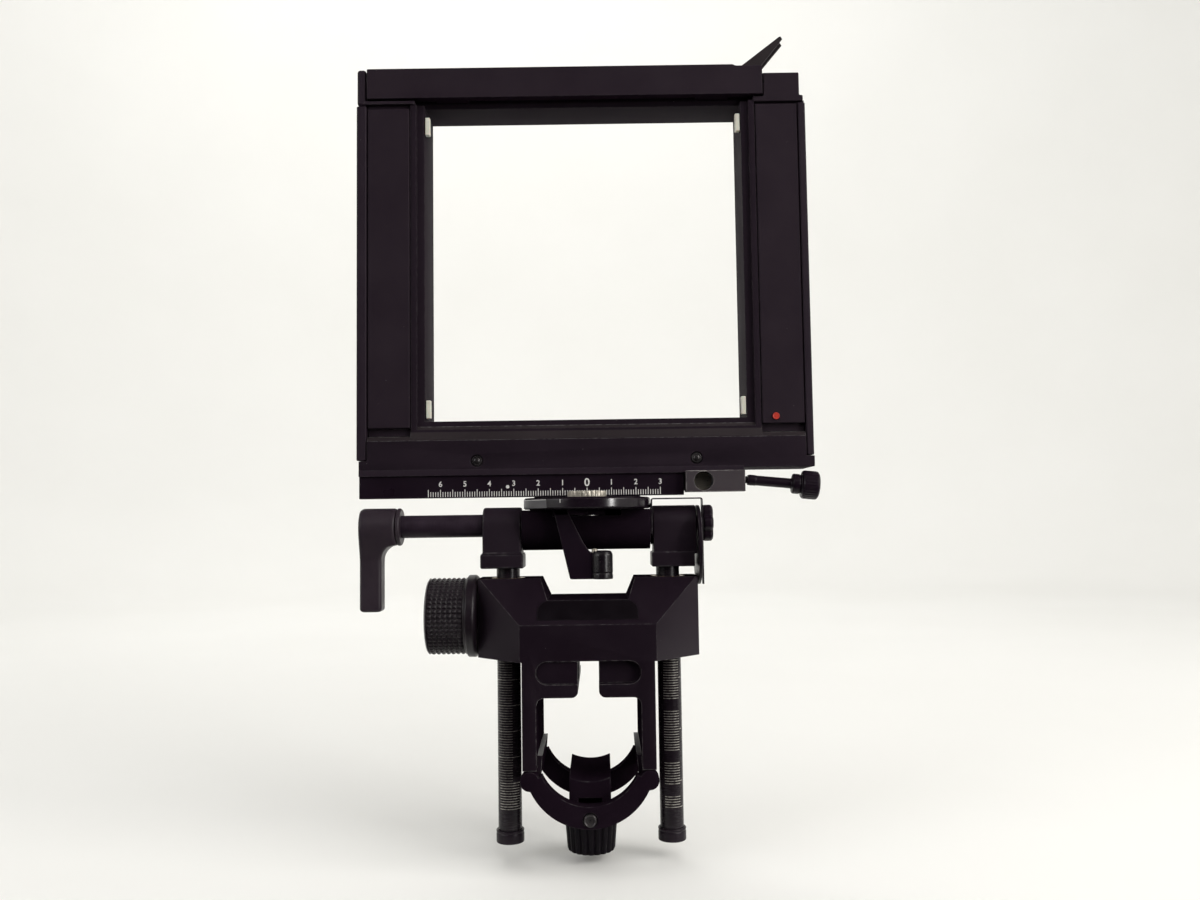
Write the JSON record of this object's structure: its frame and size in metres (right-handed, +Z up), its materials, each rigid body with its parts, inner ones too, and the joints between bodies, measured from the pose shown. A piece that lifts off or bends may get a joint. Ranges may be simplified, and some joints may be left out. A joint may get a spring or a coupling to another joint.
{
  "type": "view camera standard",
  "caption": "Standard of a monorail view camera: rail bearer with bail clamp, rise columns, tilt and swing head, shift slide and a square board frame with retainer.",
  "frame": {"origin": "on the axis of the monorail, midway along the bearer's depth", "axes": "+X to the right seen from the front, -Y towards the front (the board side), +Z up along the columns; the rail runs along Y"},
  "size_m": [0.1883, 0.0599, 0.3324],
  "materials": {
    "black_paint": "satin black paint on die-cast aluminium",
    "black_anodised": "black anodised",
    "black_plastic": "matte black",
    "steel": "turned steel",
    "bronze": "plain bronze bush",
    "nylon": "white nylon",
    "red_paint": "red"
  },
  "bodies": {
    "bearer": {"bearer_casting": "black_paint", "name_plate": "black_plastic", "left_column_bush": "bronze", "right_column_bush": "bronze", "front_bail": "black_paint", "rear_bail": "black_paint", "left_bail_pin": "steel", "right_bail_pin": "steel", "clamp_cross_bar": "steel"},
    "clamp_shoe": {"clamp_shoe": "black_paint"},
    "clamp_screw": {"clamp_spindle": "steel", "clamp_knob": "black_plastic"},
    "rise_lock": {"rise_lock_knob": "black_anodised", "rise_lock_spindle": "steel"},
    "columns": {"left_column": "black_anodised", "right_column": "black_anodised", "left_column_cap": "black_anodised", "right_column_cap": "black_anodised", "left_tilt_block": "black_paint", "right_tilt_block": "black_paint", "tilt_scale_plate": "black_anodised", "tilt_pivot_pin": "steel"},
    "tilt_lock": {"tilt_lock_lever": "black_plastic", "tilt_lock_shaft": "black_anodised"},
    "tilt_end": {"tilt_end_knob": "black_anodised"},
    "tilt_head": {"tilt_barrel": "black_paint", "tilt_index_strip": "black_anodised", "swing_pivot": "steel"},
    "swing_lock": {"swing_lock_lever": "black_anodised", "swing_lever_tip": "black_plastic"},
    "turntable": {"turntable_disc": "black_anodised", "pivot_cap": "steel", "shift_carriage": "black_anodised"},
    "board_frame": {"shift_rail": "black_anodised", "shift_scale_bar": "black_anodised", "rod_socket_block": "black_paint", "frame_base_bar": "black_paint", "left_upright": "black_paint", "right_upright": "black_paint", "left_rim": "black_paint", "right_rim": "black_paint", "top_rail": "black_paint", "board_seat_ring": "black_paint", "corner_block": "black_paint", "upper_left_pad": "nylon", "upper_right_pad": "nylon", "lower_left_pad": "nylon", "lower_right_pad": "nylon", "left_base_screw": "steel", "right_base_screw": "steel", "index_dot": "red_paint", "retainer_lever_pin": "steel"},
    "rod_clamp": {"rod_clamp_screw": "black_plastic"},
    "retainer": {"retaining_bar": "black_paint"},
    "retainer_lever": {"retainer_lever": "black_anodised"}
  },
  "joints": [
    {"name": "clamp_travel", "type": "slide", "parent": "bearer", "child": "clamp_shoe", "axis": [0, 0, 1], "range_m": [-0.002, 0]},
    {"name": "clamp_turn", "type": "hinge", "parent": "clamp_shoe", "child": "clamp_screw", "pos_m": [0, 0, -0.0319], "axis": [0, 0, 1], "range_deg": [-360, 0]},
    {"name": "rise_lock_turn", "type": "hinge", "parent": "bearer", "child": "rise_lock", "pos_m": [-0.0432, 0, 0.0416], "axis": [-1, 0, 0], "range_deg": [0, 270]},
    {"name": "rise", "type": "slide", "parent": "bearer", "child": "columns", "axis": [0, 0, 1], "range_m": [0, 0.067]},
    {"name": "tilt_lock_turn", "type": "hinge", "parent": "columns", "child": "tilt_lock", "pos_m": [-0.0415, 0, 0.0773], "axis": [1, 0, 0], "range_deg": [-60, 30]},
    {"name": "tilt_end_turn", "type": "hinge", "parent": "columns", "child": "tilt_end", "pos_m": [0.0461, 0, 0.0773], "axis": [1, 0, 0], "range_deg": [-90, 90]},
    {"name": "tilt", "type": "hinge", "parent": "columns", "child": "tilt_head", "pos_m": [0, 0, 0.0773], "axis": [1, 0, 0], "range_deg": [-30, 30]},
    {"name": "swing_lock_turn", "type": "hinge", "parent": "tilt_head", "child": "swing_lock", "pos_m": [0, 0, 0.0811], "axis": [0, 0, 1], "range_deg": [0, 30]},
    {"name": "swing", "type": "hinge", "parent": "tilt_head", "child": "turntable", "pos_m": [0, 0, 0.0835], "axis": [0, 0, 1], "range_deg": [-45, 45]},
    {"name": "shift", "type": "slide", "parent": "turntable", "child": "board_frame", "axis": [1, 0, 0], "range_m": [-0.03, 0.06]},
    {"name": "rod_clamp_turn", "type": "hinge", "parent": "board_frame", "child": "rod_clamp", "pos_m": [0.0644, 0.007, 0.0947], "axis": [0.9952, 0, -0.0976], "range_deg": [0, 270]},
    {"name": "retainer_lift", "type": "slide", "parent": "board_frame", "child": "retainer", "axis": [0, 0, 1], "range_m": [0, 0.006]},
    {"name": "retainer_lever_turn", "type": "hinge", "parent": "board_frame", "child": "retainer_lever", "pos_m": [0.0711, 0.0101, 0.26265], "axis": [0, -1, 0], "range_deg": [0, 40]}
  ],
  "couplings": [
    {"joint": "clamp_travel", "follows": "clamp_turn", "m_per_rad": 0.00031831},
    {"joint": "retainer_lever_turn", "follows": "retainer_lift", "rad_per_m": 116.3}
  ]
}
